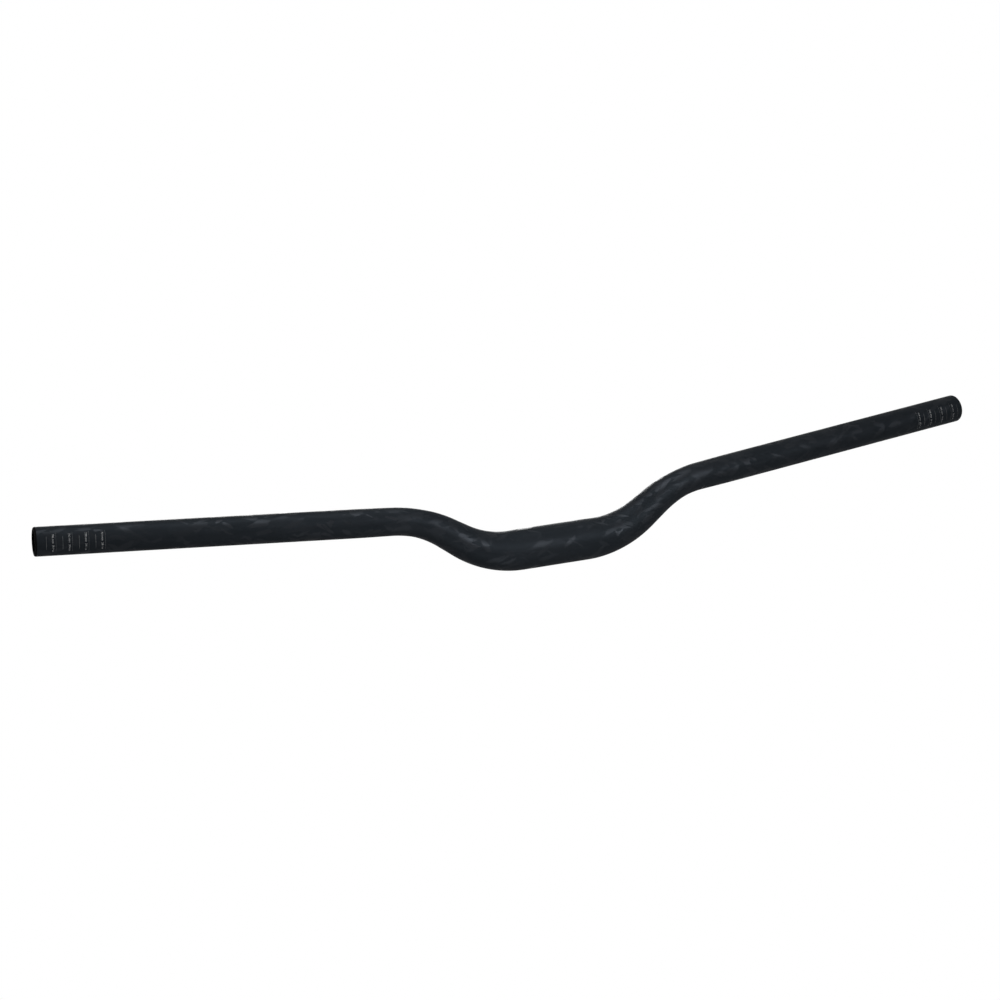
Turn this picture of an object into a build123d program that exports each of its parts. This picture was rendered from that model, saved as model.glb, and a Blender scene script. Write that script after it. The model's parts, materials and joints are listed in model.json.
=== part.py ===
from build123d import *
import os
from math import radians, tan

# Riser handlebar for a mountain bike: one hollow tube, moulded in one piece from carbon fibre.
# Millimetres and degrees. The origin is the middle of the stem clamp. X runs along the clamp to the
# rider's left, Y points back to the rider and Z up. The bar is the same on both sides of the YZ plane.

# Overall size
width = 800.0  # tip to tip along X, at the centre line

# Clamp seat: the parallel middle that the stem closes on
clamp_diameter = 31.8
clamp_length = 52.0
clamp_wall = 3.0

# Grips: the parallel ends, for grips and controls
grip_diameter = 22.2
grip_wall = 2.4
back_sweep = 9.0  # grip axis, seen from above
up_sweep = 5.0  # grip axis, seen from the front

# Bends: up from the clamp, then out along the grip
bend_offset = 5.5  # straight run from the clamp seat to the lower bend
lower_bend_radius = 84.0
riser_angle = 33.0  # climb of the riser from the clamp axis
riser_lean = 9.5  # tilt of the riser towards the front
riser_run = 15.0  # straight run between the two bends
upper_bend_radius = 84.0

# Taper: straight down to a slim neck in the upper bend, then a slow flare out to the grip
taper_length = 99.0
taper_rounding = 10.0  # length of the soft start and of the soft end
neck_diameter = 21.5
flare_length = 50.0

# Rims of the open ends
rim_rounding = 1.4
bore_chamfer = 0.4

section_spacing = 6.0  # of the round sections that shape the bends

os.makedirs("parts", exist_ok=True)


def corner_run(radius, before, after):
    """Length from a corner of the centre line to where its bend starts."""
    return radius * tan(radians(before.get_angle(after) / 2))


# Corners of the centre line of one half, from the middle of the clamp to the tip
clamp_direction = Vector(1, 0, 0)
riser_direction = clamp_direction.rotate(Axis.Y, -riser_angle).rotate(Axis.X, riser_lean)
grip_direction = Vector(1, tan(radians(back_sweep)), tan(radians(up_sweep))).normalized()
lower_run = corner_run(lower_bend_radius, clamp_direction, riser_direction)
upper_run = corner_run(upper_bend_radius, riser_direction, grip_direction)
lower_corner = clamp_direction * (clamp_length / 2 + bend_offset + lower_run)
upper_corner = lower_corner + riser_direction * (lower_run + riser_run + upper_run)
tip = upper_corner + grip_direction * ((width / 2 - upper_corner.X) / grip_direction.X)

with BuildLine() as half_line:
    FilletPolyline((0, 0, 0), lower_corner, upper_corner, tip, radius=(lower_bend_radius, upper_bend_radius))
centre_line = half_line.wire()
bends_end = centre_line.length - half_line.edges().sort_by(Axis.X)[-1].length

# Places along the centre line, measured from the middle of the clamp
seat_end = clamp_length / 2
neck = seat_end + taper_length
grip_start = max(neck + flare_length, bends_end)
section_count = round((grip_start - seat_end) / section_spacing)
section_places = [seat_end + (grip_start - seat_end) * i / section_count for i in range(section_count + 1)]


def soft_ramp(run, length, rounding):
    """Climb from 0 to 1 over a length: a straight slope whose two ends are rounded off."""
    run = min(max(run, 0), length)
    if run < rounding:
        climb = run**2 / (2 * rounding)
    elif run > length - rounding:
        climb = length - rounding - (length - run) ** 2 / (2 * rounding)
    else:
        climb = run - rounding / 2
    return climb / (length - rounding)


def outer_radius(place):
    """Radius of the outside: clamp seat, neck and grip, joined by the taper and the flare."""
    taper = soft_ramp(place - seat_end, taper_length, taper_rounding)
    flare = soft_ramp(place - neck, flare_length, flare_length / 2)
    diameter = clamp_diameter + (neck_diameter - clamp_diameter) * taper + (grip_diameter - neck_diameter) * flare
    return diameter / 2


def bore_radius(place):
    """Radius of the bore: the wall thins along the taper."""
    taper = soft_ramp(place - seat_end, taper_length, taper_rounding)
    return outer_radius(place) - clamp_wall - (grip_wall - clamp_wall) * taper


def section_plane(place):
    """Plane square to the centre line, with its X direction level and pointing back."""
    tangent = centre_line.tangent_at(place, position_mode=PositionMode.LENGTH)
    origin = centre_line.position_at(place, position_mode=PositionMode.LENGTH)
    return Plane(origin=origin, x_dir=Vector(0, 0, 1).cross(tangent), z_dir=tangent)


with BuildPart() as handlebar:
    # One half, solid at first, and then its bore
    for radius_at, mode in ((outer_radius, Mode.ADD), (bore_radius, Mode.SUBTRACT)):
        with BuildSketch(section_plane(0)):
            Circle(radius_at(0))
        extrude(amount=seat_end, mode=mode)
        for place in section_places:
            with BuildSketch(section_plane(place)):
                Circle(radius_at(place))
        loft(mode=mode)
        with BuildSketch(section_plane(grip_start)):
            Circle(radius_at(grip_start))
        extrude(amount=centre_line.length - grip_start, mode=mode)
    mirror(about=Plane.YZ)

    # Rims of the two open ends
    ends = handlebar.faces().filter_by(GeomType.PLANE)
    bore_edges = [end.inner_wires()[0].edge() for end in ends]
    fillet([end.outer_wire().edge() for end in ends], radius=rim_rounding)
    chamfer(bore_edges, length=bore_chamfer)

handlebar.part.label = "handlebar"
export_step(handlebar.part, "parts/handlebar.step")
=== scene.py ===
"""Riser handlebar: the finish, cut marks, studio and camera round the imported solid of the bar."""

import json
import logging
from dataclasses import dataclass, field
from enum import Enum
from math import cos, pi, radians, sin, tan

import bmesh
import bpy
from bmesh.types import BMEdge, BMesh, BMFace, BMLayerItem, BMVert
from bpy.types import Material, Mesh, Node, NodeSocket, Object, World
from mathutils import Matrix, Quaternion, Vector


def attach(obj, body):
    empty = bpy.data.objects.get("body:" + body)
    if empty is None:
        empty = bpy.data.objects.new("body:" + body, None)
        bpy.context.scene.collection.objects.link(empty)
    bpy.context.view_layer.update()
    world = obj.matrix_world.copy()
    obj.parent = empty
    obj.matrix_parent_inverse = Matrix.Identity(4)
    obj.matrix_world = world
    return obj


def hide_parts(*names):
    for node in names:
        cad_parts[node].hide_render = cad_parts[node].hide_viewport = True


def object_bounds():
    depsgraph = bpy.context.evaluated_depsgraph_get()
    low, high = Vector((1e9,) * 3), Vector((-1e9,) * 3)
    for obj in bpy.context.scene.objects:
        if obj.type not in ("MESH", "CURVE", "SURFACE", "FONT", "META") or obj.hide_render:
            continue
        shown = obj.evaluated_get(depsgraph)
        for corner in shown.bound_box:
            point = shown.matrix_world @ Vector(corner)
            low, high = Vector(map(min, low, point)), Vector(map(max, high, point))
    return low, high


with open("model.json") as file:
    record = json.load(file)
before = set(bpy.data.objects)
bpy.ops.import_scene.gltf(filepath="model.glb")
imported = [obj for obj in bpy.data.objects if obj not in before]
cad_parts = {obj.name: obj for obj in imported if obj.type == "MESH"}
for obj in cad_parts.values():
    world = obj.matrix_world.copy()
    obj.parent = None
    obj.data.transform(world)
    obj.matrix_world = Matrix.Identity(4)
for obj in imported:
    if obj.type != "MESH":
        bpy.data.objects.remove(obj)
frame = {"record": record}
cad_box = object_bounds()

log = logging.getLogger("handlebar")

Colour = tuple[float, float, float]
Paint = tuple[float, float, float, float]  # a colour and its cover
Span = tuple[float, float]
Value = NodeSocket | float | tuple[float, ...] | str  # what an input or a setting of a node takes

MM = 0.001  # metres in a millimetre
MM_PER_INCH = 25.4
TOUCHING = 0.001 * MM  # points this close together are one point
UP = Vector((0, 0, 1))
WHITE: Paint = (1.0, 1.0, 1.0, 1.0)
MID_DRAW: Colour = (0.5, 0.5, 0.5)  # middle of the random colours

BODY = "root"
NODE = "handlebar"
UNBENT = "unbent"  # attribute of the bar: where each point would lie if the bar were straight


def mount_size(name: str, size: str) -> float:
    """Size of one of the bar's mounts.

    Args:
        name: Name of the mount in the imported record.
        size: Name of the size, without its unit.

    Returns:
        The size in metres.
    """
    mounts = {mount["name"]: mount for mount in frame["record"]["mounts"]}
    return mounts[name]["dims"][size + "_mm"] * MM


def add_piece(name: str, bm: BMesh) -> Object:
    """Put a finished shape into the scene.

    Args:
        name: Name of the piece.
        bm: The shape in its place, which is used up.

    Returns:
        The piece, with its object at the origin.
    """
    mesh = bpy.data.meshes.new(name)
    bm.to_mesh(mesh)
    bm.free()
    piece = bpy.data.objects.new(name, mesh)
    bpy.context.scene.collection.objects.link(piece)
    return piece


class Mixed(Enum):
    """What a Mix node blends, by the numbers of its two inputs and its output."""

    FLOAT = (2, 3, 0)
    VECTOR = (4, 5, 1)


class Sketch:
    """A node tree, with short ways to add its nodes and join them."""

    def __init__(self, owner: Material | World) -> None:
        """Start with the empty tree of a material or of the surroundings."""
        owner.use_nodes = True
        self.tree = owner.node_tree
        self.tree.nodes.clear()

    def add(self, kind: str, inputs: dict[str | int, Value] | None = None, **settings: Value) -> Node:
        """Add a node.

        Args:
            kind: The node's type, without the word that all shader nodes start with.
            inputs: Sockets or plain values for the node's inputs, by name or number.
            settings: The node's own settings.

        Returns:
            The new node.
        """
        node = self.tree.nodes.new("ShaderNode" + kind)
        for name, value in settings.items():
            setattr(node, name, value)
        for key, value in (inputs or {}).items():
            if isinstance(value, NodeSocket):
                self.tree.links.new(value, node.inputs[key])
            else:
                node.inputs[key].default_value = value
        return node

    def number(self, operation: str, *values: Value) -> NodeSocket:
        """Work on numbers with a Math node."""
        return self.add("Math", dict(enumerate(values)), operation=operation).outputs[0]

    def vector(self, operation: str, *values: Value) -> NodeSocket:
        """Work on vectors with a Vector Math node."""
        return self.add("VectorMath", dict(enumerate(values)), operation=operation).outputs[0]

    def noise(self, place: NodeSocket, grain: float, detail: float) -> Node:
        """Add a cloudy noise with grains of the given size."""
        return self.add("TexNoise", {"Vector": place, "Scale": 1 / grain, "Detail": detail})

    def between(self, share: Value, low: float, high: float) -> NodeSocket:
        """Number that goes from low to high as a share goes from 0 to 1."""
        return self.add("MapRange", {"Value": share, "To Min": low, "To Max": high}).outputs[0]

    def fade(self, value: Value, low: float, high: float) -> NodeSocket:
        """Share that climbs softly from 0 to 1 as a value goes from low to high."""
        inputs = {"Value": value, "From Min": low, "From Max": high}
        return self.add("MapRange", inputs, interpolation_type="SMOOTHSTEP").outputs[0]

    def blend(self, kind: Mixed, share: Value, below: Value, above: Value) -> NodeSocket:
        """Go from one value to another.

        Args:
            kind: Whether they are numbers or vectors. A colour counts as a vector.
            share: How far to go, from 0 to 1.
            below: The value at 0.
            above: The value at 1.

        Returns:
            The value between.
        """
        first, second, result = kind.value
        inputs = {0: share, first: below, second: above}
        return self.add("Mix", inputs, data_type=kind.name).outputs[result]

    def in_view(self) -> NodeSocket:
        """Tell what the camera sees, also mirrored or through glass, from light on matt surfaces.

        Returns:
            1 for what it sees, and 0 for light.
        """
        path = self.add("LightPath").outputs
        seen = self.number("MAXIMUM", path["Is Camera Ray"], path["Is Glossy Ray"])
        return self.number("MAXIMUM", seen, path["Is Transmission Ray"])

    def finish(self, shader: Node, output: str = "OutputMaterial") -> None:
        """Make a shader the tree's surface."""
        self.tree.links.new(shader.outputs[0], self.add(output).inputs["Surface"])


@dataclass(frozen=True)
class Chips:
    """What a layer of chips gives at a point: how far it covers, and each chip's own lean and tone."""

    cover: NodeSocket
    lean: NodeSocket
    tone: NodeSocket


@dataclass(frozen=True)
class ChipLayer:
    """One lay of chopped fibre: flat chips that run along the bar or wind round it."""

    length: float
    width: float
    twist: float  # radians round the bar for each metre along it
    seed: float
    share: float = 0.22  # of the chips in this lay that show
    lean: float = 0.09  # how far a chip's face tips out of the surface
    shine: Span = (0.4, 0.75)  # range of the chips' own tone, from 0, dull, to 1, smooth
    ragged: float = 0.35  # how far the edges wander, in chip widths
    ragged_grain: float = 3 * MM
    ragged_detail: float = 2.0
    edge: float = 0.06  # soft border, in chip widths
    fibre_length: float = 9 * MM
    fibre_width: float = 0.3 * MM
    fibre_detail: float = 1.0
    streak: float = 0.06  # how far the fibres streak a chip's tone

    def lay(self, sketch: Sketch, place: NodeSocket, plenty: NodeSocket) -> Chips:
        """Add the nodes of the layer.

        Args:
            sketch: The tree to add to.
            place: Where the point lies on the straightened bar.
            plenty: How many of the chips show there, from 0 to 1.

        Returns:
            The sockets that the layer ends in.
        """
        along = sketch.add("SeparateXYZ", {0: place}).outputs["X"]
        turn = sketch.number("MULTIPLY", along, self.twist)
        winding = {"Vector": place, "Angle": turn}
        wound = sketch.add("VectorRotate", winding, rotation_type="X_AXIS").outputs[0]
        cells = sketch.vector("MULTIPLY", wound, (1 / self.length, 1 / self.width, 1 / self.width))
        wander = sketch.noise(place, self.ragged_grain, self.ragged_detail).outputs["Color"]
        shift = sketch.vector("SUBTRACT", wander, MID_DRAW)
        shift = sketch.vector("MULTIPLY_ADD", shift, (self.ragged,) * 3, (self.seed,) * 3)
        spot = {"Vector": sketch.vector("ADD", cells, shift), "Scale": 1.0}
        chip = sketch.add("TexVoronoi", spot, feature="F1").outputs["Color"]
        border = sketch.add("TexVoronoi", spot, feature="DISTANCE_TO_EDGE").outputs["Distance"]
        draw = sketch.add("TexWhiteNoise", {"Vector": chip}, noise_dimensions="3D").outputs
        shown = sketch.number("LESS_THAN", draw["Value"], sketch.number("MULTIPLY", plenty, self.share))
        inside = sketch.fade(border, 0.0, self.edge)
        gloss = sketch.add("SeparateXYZ", {0: draw["Color"]}).outputs["Z"]
        tip = sketch.vector("SUBTRACT", draw["Color"], MID_DRAW)
        streaks = self._streaks(sketch, wound)
        return Chips(
            cover=sketch.number("MULTIPLY", shown, inside),
            lean=sketch.vector("MULTIPLY", tip, (2 * self.lean,) * 3),
            tone=sketch.number("MULTIPLY", sketch.between(gloss, *self.shine), streaks),
        )

    def _streaks(self, sketch: Sketch, wound: NodeSocket) -> NodeSocket:
        """Add the fine fibres that run along the chips.

        Args:
            sketch: The tree to add to.
            wound: Where the point lies, turned with the lay.

        Returns:
            A factor close to 1 for the chips' tone.
        """
        thread = (1 / self.fibre_length, 1 / self.fibre_width, 1 / self.fibre_width)
        strands = sketch.vector("MULTIPLY", wound, thread)
        fibre = sketch.noise(strands, 1.0, self.fibre_detail).outputs["Fac"]
        return sketch.between(fibre, 1 - self.streak, 1 + self.streak)


@dataclass(frozen=True)
class ForgedCarbon:
    """Satin black skin of chopped carbon fibre.

    Each chip leans its own way under the surface and has its own tone, from 0, dark and dull, to 1, paler
    and smooth. The first layer is the dark ground, and the others scatter paler chips over it.
    """

    dark: Colour = (0.0108, 0.0131, 0.0157)
    pale: Colour = (0.0172, 0.0190, 0.0220)
    metal: Span = (0.5, 0.78)  # how far dull and smooth chips shine like a dark metal
    roughness: Span = (0.54, 0.34)  # of dull and smooth chips
    gloss: float = 0.0  # beside the shine of the chips
    edge_tint: Paint = (0.66, 0.66, 0.66, 1.0)  # of the reflections at a low angle
    seat_plenty: float = 0.3  # share of the pale chips that show on the clamp seat
    seat_fade: Span = (25 * MM, 90 * MM)  # from the bar's middle: the stretch over which the rest appear
    grip_plenty: float = 0.55  # share of them that show on the grips
    grip_fade: Span = (130 * MM, 200 * MM)
    layers: tuple[ChipLayer, ...] = (
        ChipLayer(20 * MM, 7 * MM, twist=0, seed=3.1, share=1.0, lean=0.03, shine=(0.0, 0.2)),
        ChipLayer(10 * MM, 3.7 * MM, twist=38, seed=13.9),
        ChipLayer(9 * MM, 3.4 * MM, twist=-44, seed=61.5),
        ChipLayer(12 * MM, 3.8 * MM, twist=6, seed=44.7),
    )

    def build(self) -> Material:
        """Make the material.

        Returns:
            The material of the bar's outside.
        """
        material = bpy.data.materials.new("forged_carbon")
        sketch = Sketch(material)
        place = sketch.add("Attribute", attribute_name=UNBENT).outputs["Vector"]
        plenty = self._plenty(sketch, place)
        base, *overlays = [layer.lay(sketch, place, plenty) for layer in self.layers]
        lean = base.lean
        tone = base.tone
        for chips in overlays:
            lean = sketch.blend(Mixed.VECTOR, chips.cover, lean, chips.lean)
            tone = sketch.blend(Mixed.FLOAT, chips.cover, tone, chips.tone)
        normal = sketch.add("NewGeometry").outputs["Normal"]
        leaning = sketch.vector("ADD", lean, normal)
        inputs = {
            "Base Color": sketch.blend(Mixed.VECTOR, tone, self.dark, self.pale),
            "Metallic": sketch.between(tone, *self.metal),
            "Roughness": sketch.between(tone, *self.roughness),
            "Specular IOR Level": self.gloss,
            "Specular Tint": self.edge_tint,
            "Normal": sketch.vector("NORMALIZE", leaning),
        }
        sketch.finish(sketch.add("BsdfPrincipled", inputs))
        return material

    def _plenty(self, sketch: Sketch, place: NodeSocket) -> NodeSocket:
        """Thin out the pale chips on the clamp seat and on the grips.

        Args:
            sketch: The tree to add to.
            place: Where the point lies on the straightened bar.

        Returns:
            The share of the chips that show there.
        """
        along = sketch.add("SeparateXYZ", {0: place}).outputs["X"]
        off_middle = sketch.number("ABSOLUTE", along)
        seat = sketch.between(sketch.fade(off_middle, *self.seat_fade), self.seat_plenty, 1.0)
        grip = sketch.between(sketch.fade(off_middle, *self.grip_fade), 1.0, self.grip_plenty)
        return sketch.number("MULTIPLY", seat, grip)


@dataclass(frozen=True)
class RawCarbon:
    """Bare carbon without lacquer, with faint flecks. The colours given it below are darker than bare
    carbon's own black, partly painted shade of the bar's hollow ends.
    """

    name: str
    colour: Colour
    fleck: Colour
    gloss: float = 0.0
    roughness: Span = (0.8, 0.7)  # of the ground and of the flecks
    fleck_fade: Span = (0.45, 0.7)  # levels of the noise between which a fleck appears
    grain: float = 0.6 * MM
    detail: float = 3.0

    def build(self) -> Material:
        """Make the material.

        Returns:
            The material of a bare surface.
        """
        material = bpy.data.materials.new(self.name)
        sketch = Sketch(material)
        place = sketch.add("Attribute", attribute_name=UNBENT).outputs["Vector"]
        noise = sketch.noise(place, self.grain, self.detail).outputs["Fac"]
        share = sketch.fade(noise, *self.fleck_fade)
        inputs = {
            "Base Color": sketch.blend(Mixed.VECTOR, share, self.colour, self.fleck),
            "Roughness": sketch.between(share, *self.roughness),
            "Specular IOR Level": self.gloss,
        }
        sketch.finish(sketch.add("BsdfPrincipled", inputs))
        return material


# Cut end faces: the bare carbon's own black, partly painted shade, darker than the lacquered skin
TRIMMED_END = RawCarbon("trimmed_end", (0.003, 0.003, 0.0033), (0.007, 0.007, 0.0075), gloss=0.015)
# Bore: the darkest colour on the bar, bare carbon's black deepened with painted shade inside the hollow
MOULDED_BORE = RawCarbon("moulded_bore", (0.002, 0.002, 0.0022), (0.004, 0.004, 0.0044))


@dataclass(frozen=True)
class MarkInk:
    """Thin grey print of the cut marks, a little worn."""

    name: str
    full: Colour
    worn: Colour
    gloss: float = 0.2
    roughness: float = 0.55
    wear_fade: Span = (0.35, 0.65)  # levels of the noise between which the ink goes from worn to full
    grain: float = 0.9 * MM
    detail: float = 3.0

    def build(self) -> Material:
        """Make the material.

        Returns:
            The material of the print.
        """
        material = bpy.data.materials.new(self.name)
        sketch = Sketch(material)
        place = sketch.add("TexCoord").outputs["Object"]
        noise = sketch.noise(place, self.grain, self.detail).outputs["Fac"]
        share = sketch.fade(noise, *self.wear_fade)
        inputs = {
            "Base Color": sketch.blend(Mixed.VECTOR, share, self.worn, self.full),
            "Roughness": self.roughness,
            "Specular IOR Level": self.gloss,
        }
        sketch.finish(sketch.add("BsdfPrincipled", inputs))
        return material


LABEL_INK = MarkInk("label_ink", full=(0.32, 0.325, 0.33), worn=(0.19, 0.193, 0.197))
LINE_INK = MarkInk("line_ink", full=(0.14, 0.142, 0.145), worn=(0.08, 0.081, 0.083))


class Side(Enum):
    """The rider's two sides, by the sign of X."""

    LEFT = 1
    RIGHT = -1


@dataclass(frozen=True)
class Run:
    """A stretch of the centre line: straight, or an arc that turns about an axis."""

    start: Vector
    heading: Vector
    length: float
    bend_axis: Vector | None = None
    bend_radius: float = 0.0

    def at(self, along: float) -> tuple[Vector, Vector]:
        """Follow the stretch.

        Args:
            along: Length from the start of the stretch.

        Returns:
            The point there and the unit heading.
        """
        if self.bend_axis is None:
            return self.start + self.heading * along, self.heading
        inward = self.bend_axis.cross(self.heading)
        turn = Quaternion(self.bend_axis, along / self.bend_radius)
        centre = self.start + inward * self.bend_radius
        return centre - turn @ inward * self.bend_radius, turn @ self.heading


@dataclass
class CentreLine:
    """Centre line of the half on the rider's left, from the middle of the clamp to the tip."""

    half_width: float = 400 * MM
    clamp_length: float = mount_size("stem_clamp", "length")
    bend_offset: float = 5.5 * MM  # straight run from the clamp seat to the lower bend
    bend_radius: float = 84 * MM
    riser_angle: float = radians(33)
    riser_lean: float = radians(9.5)  # tilt of the riser towards the front
    riser_run: float = 15 * MM
    back_sweep: float = radians(9)
    up_sweep: float = radians(5)
    runs: list[Run] = field(init=False, default_factory=list)

    def __post_init__(self) -> None:
        """Lay the stretches end to end."""
        riser_rise = Vector((0, -sin(self.riser_lean), cos(self.riser_lean)))
        riser = Vector((cos(self.riser_angle), 0, 0)) + riser_rise * sin(self.riser_angle)
        grip = Vector((1, tan(self.back_sweep), tan(self.up_sweep))).normalized()
        self._start(self.clamp_length / 2 + self.bend_offset)
        self._bend(riser)
        self._straight(self.riser_run)
        self._bend(grip)
        point, heading = self._end()
        self._straight((self.half_width - point.x) / heading.x)

    def _end(self) -> tuple[Vector, Vector]:
        """Point and unit heading at the end of the last stretch so far."""
        return self.runs[-1].at(self.runs[-1].length)

    def _start(self, length: float) -> None:
        """Begin at the middle of the clamp, along its axis."""
        self.runs.append(Run(Vector(), Vector((1, 0, 0)), length))

    def _straight(self, length: float) -> None:
        """Add a straight stretch."""
        point, heading = self._end()
        self.runs.append(Run(point, heading, length))

    def _bend(self, heading_after: Vector) -> None:
        """Add an arc.

        Args:
            heading_after: The unit heading that it ends in.
        """
        point, heading = self._end()
        axis = heading.cross(heading_after).normalized()
        length = self.bend_radius * heading.angle(heading_after)
        self.runs.append(Run(point, heading, length, axis, self.bend_radius))

    @property
    def length(self) -> float:
        """Length of the whole half."""
        return sum(run.length for run in self.runs)

    def station(self, place: float, radius: float = 1.0) -> Matrix:
        """Frame of a round section.

        Args:
            place: Length along the centre line from the middle of the clamp.
            radius: Radius that the section's unit circle is scaled to.

        Returns:
            A matrix with X level and to the back, Y upwards and Z along the heading.
        """
        rest = place
        for run in self.runs[:-1]:
            if rest < run.length:
                break
            rest -= run.length
        else:
            run = self.runs[-1]
        point, heading = run.at(rest)
        back = UP.cross(heading).normalized()
        turn = Matrix((back, heading.cross(back), heading)).transposed()
        return Matrix.Translation(point) @ turn.to_4x4() @ Matrix.Diagonal((radius, radius, 1, 1))


class Skin(Enum):
    """Kinds of surface on the bar, by the index of their material."""

    OUTSIDE = 0
    CUT_END = 1
    BORE = 2


@dataclass(frozen=True)
class Ring:
    """One round section of the bar's surface, and the kind of surface that leads up to it."""

    place: float
    radius: float
    skin: Skin


@dataclass
class Bar:
    """The bar itself: one hollow tube with a thick clamp seat, bends, a slim neck and grips.

    A place on it is a length along the centre line, from the middle of the clamp.
    """

    line: CentreLine
    clamp_radius: float = mount_size("stem_clamp", "r")
    clamp_wall: float = 3 * MM
    grip_radius: float = mount_size("left_grip", "r")
    grip_wall: float = mount_size("left_grip", "r") - mount_size("left_bore", "r")
    neck_radius: float = 10.75 * MM
    taper_length: float = 99 * MM
    taper_rounding: float = 10 * MM  # length of the soft start and of the soft end
    flare_length: float = 50 * MM
    rim_rounding: float = 1.4 * MM
    bore_chamfer: float = 0.4 * MM
    segments: int = 96
    bend_spacing: float = 2.5 * MM
    straight_spacing: float = 6 * MM
    rim_steps: int = 8
    crease_angle: float = radians(35)  # a sharper edge than this shows as an edge

    @staticmethod
    def soft_ramp(run: float, length: float, rounding: float) -> float:
        """Climb of a straight slope whose two ends are rounded off.

        Args:
            run: Length from the foot of the slope.
            length: Length of the slope.
            rounding: Length of each rounded end.

        Returns:
            The climb, from 0 to 1.
        """
        run = min(max(run, 0), length)
        if run < rounding:
            climb = run**2 / (2 * rounding)
        elif run > length - rounding:
            climb = length - rounding - (length - run) ** 2 / (2 * rounding)
        else:
            climb = run - rounding / 2
        return climb / (length - rounding)

    @property
    def seat_end(self) -> float:
        """Place where the clamp seat ends and the taper starts."""
        return self.line.clamp_length / 2

    @property
    def neck(self) -> float:
        """Place where the taper ends and the flare starts."""
        return self.seat_end + self.taper_length

    def taper(self, place: float) -> float:
        """How far the taper has gone at a place, from 0 to 1."""
        return self.soft_ramp(place - self.seat_end, self.taper_length, self.taper_rounding)

    def outer_radius(self, place: float) -> float:
        """Work out the outside of the bar.

        Args:
            place: Where on the bar.

        Returns:
            The radius there.
        """
        flare = self.soft_ramp(place - self.neck, self.flare_length, self.flare_length / 2)
        slimmed = self.clamp_radius + (self.neck_radius - self.clamp_radius) * self.taper(place)
        return slimmed + (self.grip_radius - self.neck_radius) * flare

    def bore_radius(self, place: float) -> float:
        """Radius of the bore at a place: the wall thins along the taper."""
        wall = self.clamp_wall + (self.grip_wall - self.clamp_wall) * self.taper(place)
        return self.outer_radius(place) - wall

    def places(self) -> list[float]:
        """Choose the sections from the middle to the start of the rim, close together in the bends.

        Returns:
            The places of the sections.
        """
        grip_start = self.neck + self.flare_length
        rim_start = self.line.length - self.rim_rounding
        stretches = (
            (0.0, self.seat_end, self.straight_spacing),
            (self.seat_end, grip_start, self.bend_spacing),
            (grip_start, rim_start, self.straight_spacing),
        )
        places = [0.0]
        for start, end, spacing in stretches:
            count = round((end - start) / spacing)
            places += [start + (end - start) * step / count for step in range(1, count + 1)]
        return places

    def rings(self) -> list[Ring]:
        """Go out along the outside of one half, round the rim and back along the bore.

        Returns:
            The sections on the way.
        """
        tip = self.line.length
        rim_start = tip - self.rim_rounding
        flat_radius = self.grip_radius - self.rim_rounding
        places = self.places()
        rings = [Ring(place, self.outer_radius(place), Skin.OUTSIDE) for place in places]
        for step in range(1, self.rim_steps + 1):
            angle = pi / 2 * step / self.rim_steps
            place = rim_start + self.rim_rounding * sin(angle)
            rings.append(Ring(place, flat_radius + self.rim_rounding * cos(angle), Skin.CUT_END))
        bore = self.bore_radius(tip)
        rings.append(Ring(tip, bore + self.bore_chamfer, Skin.CUT_END))
        rings.append(Ring(tip - self.bore_chamfer, bore, Skin.CUT_END))
        rings += [Ring(place, self.bore_radius(place), Skin.BORE) for place in reversed(places)]
        return rings

    def build(self) -> Object:
        """Model the bar.

        Returns:
            The bar as one closed piece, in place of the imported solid.
        """
        bm = bmesh.new()
        unbent = bm.verts.layers.float_vector.new(UNBENT)
        self._draw_half(bm, unbent)
        self._mirror(bm, unbent)
        bar = add_piece("bar", bm)
        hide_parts(NODE)
        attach(bar, BODY)
        self._dress(bar.data)
        return bar

    def _draw_half(self, bm: BMesh, unbent: BMLayerItem) -> None:
        """Draw a circle out from ring to ring.

        Args:
            bm: The shape, still empty.
            unbent: The layer for each point's place on the straightened bar.
        """
        first, *others = self.rings()
        station = self.line.station(first.place, first.radius)
        circle = bmesh.ops.create_circle(bm, segments=self.segments, radius=1, matrix=station)
        self._note_places(circle["verts"], unbent, first, station)
        edges = bm.edges[:]
        for ring in others:
            grown = bmesh.ops.extrude_edge_only(bm, edges=edges)["geom"]
            verts = [part for part in grown if isinstance(part, BMVert)]
            edges = [part for part in grown if isinstance(part, BMEdge)]
            for part in grown:
                if isinstance(part, BMFace):
                    part.material_index = ring.skin.value
            after = self.line.station(ring.place, ring.radius)
            bmesh.ops.transform(bm, matrix=after @ station.inverted(), verts=verts)
            station = after
            self._note_places(verts, unbent, ring, station)

    @staticmethod
    def _note_places(verts: list[BMVert], unbent: BMLayerItem, ring: Ring, station: Matrix) -> None:
        """Write where the points of a ring would lie if the bar were straight.

        Args:
            verts: The points.
            unbent: The layer to write to.
            ring: The ring that they are on.
            station: The ring's frame.
        """
        back_to_flat = station.inverted()
        for vert in verts:
            flat = back_to_flat @ vert.co
            vert[unbent] = Vector((ring.place, flat.x * ring.radius, flat.y * ring.radius))

    @staticmethod
    def _mirror(bm: BMesh, unbent: BMLayerItem) -> None:
        """Add the other half and close the bar in the middle.

        Args:
            bm: The half on the rider's left.
            unbent: The layer of the points' places on the straightened bar.
        """
        half = bm.verts[:] + bm.edges[:] + bm.faces[:]
        bmesh.ops.mirror(bm, geom=half, merge_dist=TOUCHING, axis="X")
        bmesh.ops.remove_doubles(bm, verts=bm.verts[:], dist=TOUCHING)
        for vert in bm.verts:
            if vert.co.x < 0:
                place = vert[unbent]
                vert[unbent] = Vector((-abs(place.x), place.y, place.z))
        bmesh.ops.recalc_face_normals(bm, faces=bm.faces[:])

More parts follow.
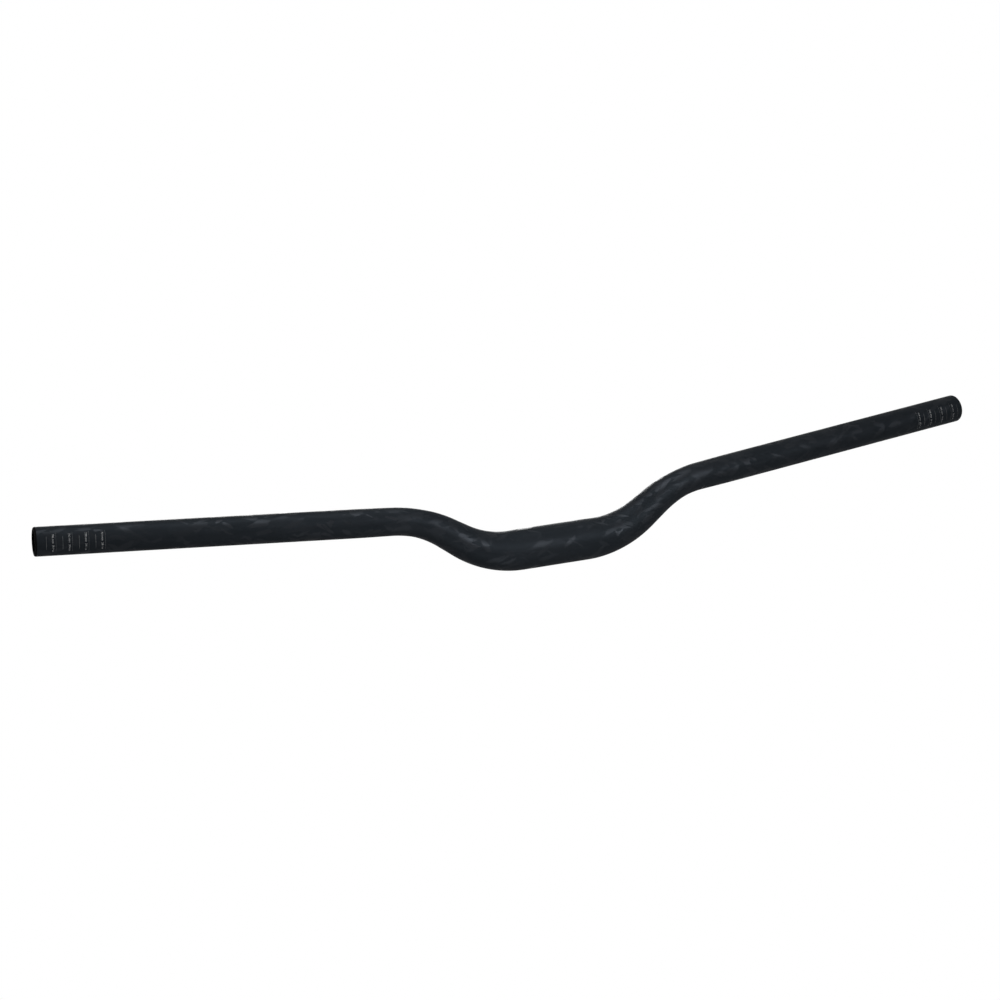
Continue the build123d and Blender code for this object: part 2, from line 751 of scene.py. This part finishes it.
    def _dress(self, mesh: Mesh) -> None:
        """Shade the bar and give each kind of surface its material.

        Args:
            mesh: The bar's mesh.
        """
        mesh.shade_smooth()
        mesh.set_sharp_from_angle(angle=self.crease_angle)
        finishes = {Skin.OUTSIDE: ForgedCarbon(), Skin.CUT_END: TRIMMED_END, Skin.BORE: MOULDED_BORE}
        for skin in Skin:
            mesh.materials.append(finishes[skin].build())


class Ink(Enum):
    """Inks of the cut marks, by the index of their material."""

    LABEL = 0
    LINE = 1


@dataclass
class CutMarks:
    """Printed guides near one tip: a line for each cut, with the width that the bar then has.

    The print is drawn flat, with X outwards along the grip, Y up round its front and Z off its surface,
    and is then wrapped round the grip.
    """

    bar: Bar
    side: Side
    slip: float  # how far inwards of its true place the print was laid
    inks: dict[Ink, Material]
    cut_widths: tuple[int, ...] = (786, 762, 738, 714)  # of the bar after the cut, in millimetres
    line_width: float = 0.18 * MM
    line_turns: Span = (radians(-37), radians(16))  # ends, from the level front
    label_offset: float = 4.9 * MM
    label_turn: float = radians(-10)
    label_size: float = 2.1 * MM
    label_curve_steps: int = 3
    rule_offset: float = 7.1 * MM
    rule_width: float = 0.1 * MM
    rule_turns: Span = (radians(-50), radians(32))
    proud: float = 0.04 * MM
    sunk: float = 0.03 * MM
    facet: float = 0.8 * MM  # longest stretch round the grip that stays flat

    def build(self) -> Object:
        """Print the marks.

        Returns:
            The marks of this side as one piece.
        """
        bm = bmesh.new()
        line = self.bar.line
        for width in self.cut_widths:
            depth = (line.half_width - width / 2 * MM) / line.runs[-1].heading.x
            outward = -depth - self.slip
            self._strip(bm, outward, self.line_width, self.line_turns)
            self._label(bm, outward - self.label_offset, f"{width} mm  {width / MM_PER_INCH:.1f} in")
            self._strip(bm, outward - self.rule_offset, self.rule_width, self.rule_turns)
        self._wrap(bm)
        marks = add_piece(f"{self.side.name.lower()}_cut_marks", bm)
        for ink in Ink:
            marks.data.materials.append(self.inks[ink])
        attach(marks, BODY)
        return marks

    @property
    def thickness(self) -> float:
        """Thickness of the print, with what is sunk into the surface."""
        return self.proud + self.sunk

    @property
    def middle_height(self) -> float:
        """Height of the middle of the print's thickness off the surface."""
        return (self.proud - self.sunk) / 2

    def _strip(self, bm: BMesh, outward: float, width: float, turns: Span) -> None:
        """Draw a line that runs round the front.

        Args:
            bm: The flat print.
            outward: Where it lies, outwards from the tip.
            width: Its width.
            turns: Its two ends, as angles from the level front.
        """
        low, high = (turn * self.bar.grip_radius for turn in turns)
        middle = Vector((outward, (low + high) / 2, self.middle_height))
        size = Matrix.Diagonal((width, high - low, self.thickness, 1))
        cube = bmesh.ops.create_cube(bm, size=1, matrix=Matrix.Translation(middle) @ size)
        for face in {face for vert in cube["verts"] for face in vert.link_faces}:
            face.material_index = Ink.LINE.value

    def _label(self, bm: BMesh, outward: float, words: str) -> None:
        """Draw a label that reads downwards round the front.

        Args:
            bm: The flat print.
            outward: Where its row lies, outwards from the tip.
            words: What it says.
        """
        curve = bpy.data.curves.new("label", "FONT")
        curve.body = words
        curve.size = self.label_size
        curve.align_x = "CENTER"
        curve.align_y = "CENTER"
        curve.resolution_u = self.label_curve_steps
        curve.extrude = self.thickness / 2
        holder = bpy.data.objects.new("label", curve)
        mesh = bpy.data.meshes.new_from_object(holder)
        middle = Vector((outward, self.label_turn * self.bar.grip_radius, self.middle_height))
        glyphs_up = Vector((self.side.value, 0, 0))
        reading = Vector((0, -1, 0))
        turn = Matrix((reading, glyphs_up, UP)).transposed().to_4x4()
        mesh.transform(Matrix.Translation(middle) @ turn)
        bm.from_mesh(mesh)
        bpy.data.objects.remove(holder)
        bpy.data.curves.remove(curve)
        bpy.data.meshes.remove(mesh)

    def _wrap(self, bm: BMesh) -> None:
        """Wrap the flat print round the grip of this side.

        Args:
            bm: The print.
        """
        radius = self.bar.grip_radius
        bmesh.ops.remove_doubles(bm, verts=bm.verts[:], dist=TOUCHING)
        bmesh.ops.dissolve_degenerate(bm, edges=bm.edges[:], dist=TOUCHING)
        facets = round(radius * pi / 2 / self.facet)
        for count in range(-facets, facets + 1):
            parts = bm.verts[:] + bm.edges[:] + bm.faces[:]
            fold = (0, count * self.facet, 0)
            bmesh.ops.bisect_plane(bm, geom=parts, dist=TOUCHING, plane_co=fold, plane_no=(0, 1, 0))
        tip = self.bar.line.length
        for vert in bm.verts:
            turn = vert.co.y / radius
            height = radius + vert.co.z
            section = Vector((-height * cos(turn), height * sin(turn), 0))
            place = self.bar.line.station(tip + vert.co.x) @ section
            vert.co = Vector((place.x * self.side.value, place.y, place.z))
        bmesh.ops.recalc_face_normals(bm, faces=bm.faces[:])


# How far inwards of its true place the print of each side was laid
PRINT_SLIPS = {Side.LEFT: -1.4 * MM, Side.RIGHT: 1.2 * MM}


@dataclass(frozen=True)
class Softbox:
    """A softbox that faces the bar."""

    name: str
    azimuth: float  # from straight in front, to the rider's left
    elevation: float
    width: float
    height: float
    radiance: float
    distance: float = 1.4
    beam: float = radians(60)  # angle that its grid narrows the light to
    shift: float = 0.0  # sideways, with what it faces, to the rider's left

    def build(self, aim: Vector) -> Object:
        """Hang the softbox.

        Args:
            aim: The point that it faces.

        Returns:
            The lamp.
        """
        level = cos(self.elevation)
        way = Vector((sin(self.azimuth) * level, -cos(self.azimuth) * level, sin(self.elevation)))
        data = bpy.data.lights.new(self.name, "AREA")
        data.shape = "RECTANGLE"
        data.size = self.width
        data.size_y = self.height
        data.spread = self.beam
        # A narrow beam is brighter straight ahead than an open one of the same power
        slope = tan(self.beam / 2)
        focus = slope / (slope - self.beam / 2)
        data.energy = pi * self.width * self.height * self.radiance / focus
        lamp = bpy.data.objects.new(self.name, data)
        turn = way.to_track_quat("Z", "Y").to_matrix().to_4x4()
        place = aim + way * self.distance + Vector((self.shift, 0, 0))
        lamp.matrix_world = Matrix.Translation(place) @ turn
        lamp.visible_camera = False
        bpy.context.scene.collection.objects.link(lamp)
        return lamp


@dataclass
class Studio:
    """White surroundings, a pale floor and the softboxes. The bar hangs free, far above the floor."""

    ambient: float = 0.15  # strength of the surroundings where they light matt surfaces
    floor_height: float = -2.0
    floor_radius: float = 5.0
    floor_segments: int = 96
    floor_paint: Paint = (0.8, 0.8, 0.8, 1.0)
    floor_shade: float = 0.12  # how far the floor's own light and shadow show in its middle
    softboxes: tuple[Softbox, ...] = (
        Softbox(
            "top_softbox", azimuth=radians(5), elevation=radians(76), width=0.9, height=0.9,
            radiance=9.8, beam=radians(52), shift=-0.1,
        ),
        Softbox(
            "front_softbox", azimuth=radians(23), elevation=radians(13), width=0.7, height=0.65,
            radiance=19.0, beam=radians(38),
        ),
        Softbox(
            "low_softbox", azimuth=radians(5), elevation=radians(-50), width=0.5, height=0.9,
            radiance=3.0, distance=0.9, beam=radians(70),
        ),
        Softbox(
            "side_softbox", azimuth=radians(-60), elevation=radians(10), width=0.8, height=0.6,
            radiance=7.8, beam=radians(50),
        ),
        Softbox(
            "back_softbox", azimuth=radians(170), elevation=radians(15), width=1.0, height=0.7,
            radiance=14.0,
        ),
    )

    def build(self) -> None:
        """Set up the world, the floor and the lamps."""
        self._surroundings()
        self._floor()
        low, high = cad_box
        for softbox in self.softboxes:
            softbox.build((low + high) / 2)

    def _surroundings(self) -> None:
        """Surround the bar with white, dimmer where it lights matt surfaces."""
        world = bpy.data.worlds.new("white_surroundings")
        bpy.context.scene.world = world
        sketch = Sketch(world)
        strength = sketch.between(sketch.in_view(), self.ambient, 1.0)
        background = sketch.add("Background", {"Color": WHITE, "Strength": strength})
        sketch.finish(background, "OutputWorld")

    def _floor(self) -> None:
        """Lay the floor, a wide round sheet."""
        bm = bmesh.new()
        place = Matrix.Translation((0, 0, self.floor_height))
        bmesh.ops.create_circle(
            bm, cap_ends=True, segments=self.floor_segments, radius=self.floor_radius, matrix=place
        )
        floor = add_piece("floor", bm)
        floor.data.materials.append(self._floor_finish())

    def _floor_finish(self) -> Material:
        """Make the pale paint of the floor, which fades into the white surroundings.

        Returns:
            The material of the floor.
        """
        material = bpy.data.materials.new("pale_floor")
        sketch = Sketch(material)
        place = sketch.add("TexCoord").outputs["Object"]
        level = sketch.vector("MULTIPLY", place, (1, 1, 0))
        reach = sketch.add("VectorMath", {0: level}, operation="LENGTH").outputs["Value"]
        fading = sketch.between(sketch.fade(reach, 0.0, self.floor_radius), 1 - self.floor_shade, 1.0)
        white = sketch.number("MULTIPLY", sketch.in_view(), fading)
        paint = sketch.add("BsdfDiffuse", {"Color": self.floor_paint})
        glow = sketch.add("Emission", {"Color": WHITE, "Strength": 1.0})
        sketch.finish(sketch.add("MixShader", {0: white, 1: paint.outputs[0], 2: glow.outputs[0]}))
        return material


@dataclass
class PhotoCamera:
    """Camera at the photograph's place: a long lens, just above the bar and a little rolled."""

    lens: float = 121.01  # focal length in millimetres
    sensor: float = 36.0  # width in millimetres
    distance: float = 2.611155
    azimuth: float = radians(24.583)  # from straight in front, to the rider's right
    elevation: float = radians(2.075)
    roll: float = radians(-7.934)
    target: Vector = field(default_factory=lambda: Vector((-0.039641, 0, 0.040121)))
    far_limit: float = 20.0

    def build(self) -> Object:
        """Set up the camera.

        Returns:
            The camera, made the scene's own.
        """
        level = cos(self.elevation)
        out = Vector((-sin(self.azimuth) * level, -cos(self.azimuth) * level, sin(self.elevation)))
        place = out * self.distance
        ahead = (self.target - place).normalized()
        right = ahead.cross(UP).normalized()
        turn = Matrix((right, right.cross(ahead), -ahead)).transposed().to_4x4()
        data = bpy.data.cameras.new("photo_camera")
        data.lens = self.lens
        data.sensor_width = self.sensor
        data.clip_end = self.far_limit
        camera = bpy.data.objects.new("photo_camera", data)
        camera.matrix_world = Matrix.Translation(place) @ turn @ Matrix.Rotation(self.roll, 4, "Z")
        bpy.context.scene.collection.objects.link(camera)
        bpy.context.scene.camera = camera
        return camera


def main() -> None:
    """Build the bar, its marks, the studio and the camera."""
    logging.basicConfig(level=logging.INFO, format="%(name)s: %(message)s")
    bpy.context.scene.view_settings.view_transform = "Standard"
    line = CentreLine()
    bar = Bar(line)
    tube = bar.build()
    log.info("%s: %d faces on a half line of %.1f mm", tube.name, len(tube.data.polygons), line.length / MM)
    inks = {Ink.LABEL: LABEL_INK.build(), Ink.LINE: LINE_INK.build()}
    for side, slip in PRINT_SLIPS.items():
        marks = CutMarks(bar, side, slip, inks).build()
        log.info("%s: %d faces", marks.name, len(marks.data.polygons))
    studio = Studio()
    studio.build()
    log.info("studio: floor and %d softboxes", len(studio.softboxes))
    camera = PhotoCamera().build()
    log.info("%s: %.1f mm lens", camera.name, camera.data.lens)


if __name__ == "__main__":
    main()
